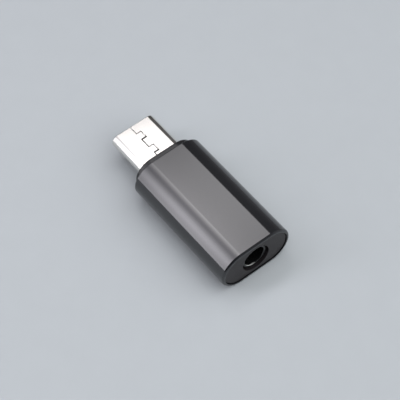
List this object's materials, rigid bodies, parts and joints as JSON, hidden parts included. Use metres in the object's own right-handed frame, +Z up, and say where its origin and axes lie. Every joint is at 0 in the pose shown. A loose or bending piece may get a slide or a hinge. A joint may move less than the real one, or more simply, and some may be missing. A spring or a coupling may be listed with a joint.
{
  "type": "usb-c headphone adapter",
  "caption": "Short stub adapter with a USB-C plug at one end and a 3.5 mm headphone jack at the other, in a black anodised sleeve of obround section.",
  "frame": {"origin": "on the surface that the adapter lies on, under the middle of its whole length", "axes": "+X towards the jack's mouth (the plug points to -X), +Y across the width, +Z up through the flat top"},
  "size_m": [0.0316, 0.013, 0.0074],
  "materials": {
    "anodised_sleeve": "glossy black anodised aluminium, fine polish lines along the extrusion",
    "end_plastic": "satin black moulded plastic with a fine spark texture",
    "nickel_shell": "bright nickel plated folded steel",
    "jack_plastic": "black moulded plastic, semi-gloss on the nose",
    "insulator_plastic": "black glass-filled polymer",
    "spring_steel": "stamped stainless spring strip",
    "gold_contact": "gold plated copper alloy",
    "leaf_bronze": "tin plated phosphor bronze",
    "board_laminate": "green solder mask on glass laminate",
    "package_epoxy": "black moulded epoxy",
    "capacitor_ceramic": "tan fired ceramic with tinned ends",
    "resistor_ceramic": "black film on white ceramic with tinned ends"
  },
  "bodies": {
    "root": {"capacitor_1": "capacitor_ceramic", "capacitor_2": "capacitor_ceramic", "capacitor_3": "capacitor_ceramic", "capacitor_4": "capacitor_ceramic", "capacitor_5": "capacitor_ceramic", "capacitor_6": "capacitor_ceramic", "circuit_board": "board_laminate", "codec_chip": "package_epoxy", "contact_a1": "gold_contact", "contact_a12": "gold_contact", "contact_a4": "gold_contact", "contact_a5": "gold_contact", "contact_a6": "gold_contact", "contact_a7": "gold_contact", "contact_a9": "gold_contact", "contact_b1": "gold_contact", "contact_b12": "gold_contact", "contact_b4": "gold_contact", "contact_b5": "gold_contact", "contact_b9": "gold_contact", "jack_body": "jack_plastic", "jack_cap": "end_plastic", "jack_ring_one_spring": "leaf_bronze", "jack_ring_two_spring": "leaf_bronze", "jack_sleeve_spring": "leaf_bronze", "jack_tip_spring": "leaf_bronze", "latch_plate": "spring_steel", "lower_carrier": "insulator_plastic", "lower_shield_spring": "spring_steel", "plug_collar": "end_plastic", "plug_insulator": "insulator_plastic", "plug_shell": "nickel_shell", "regulator": "package_epoxy", "resistor_1": "resistor_ceramic", "resistor_2": "resistor_ceramic", "resistor_3": "resistor_ceramic", "resistor_4": "resistor_ceramic", "sleeve": "anodised_sleeve", "upper_carrier": "insulator_plastic", "upper_shield_spring": "spring_steel"}
  },
  "joints": []
}
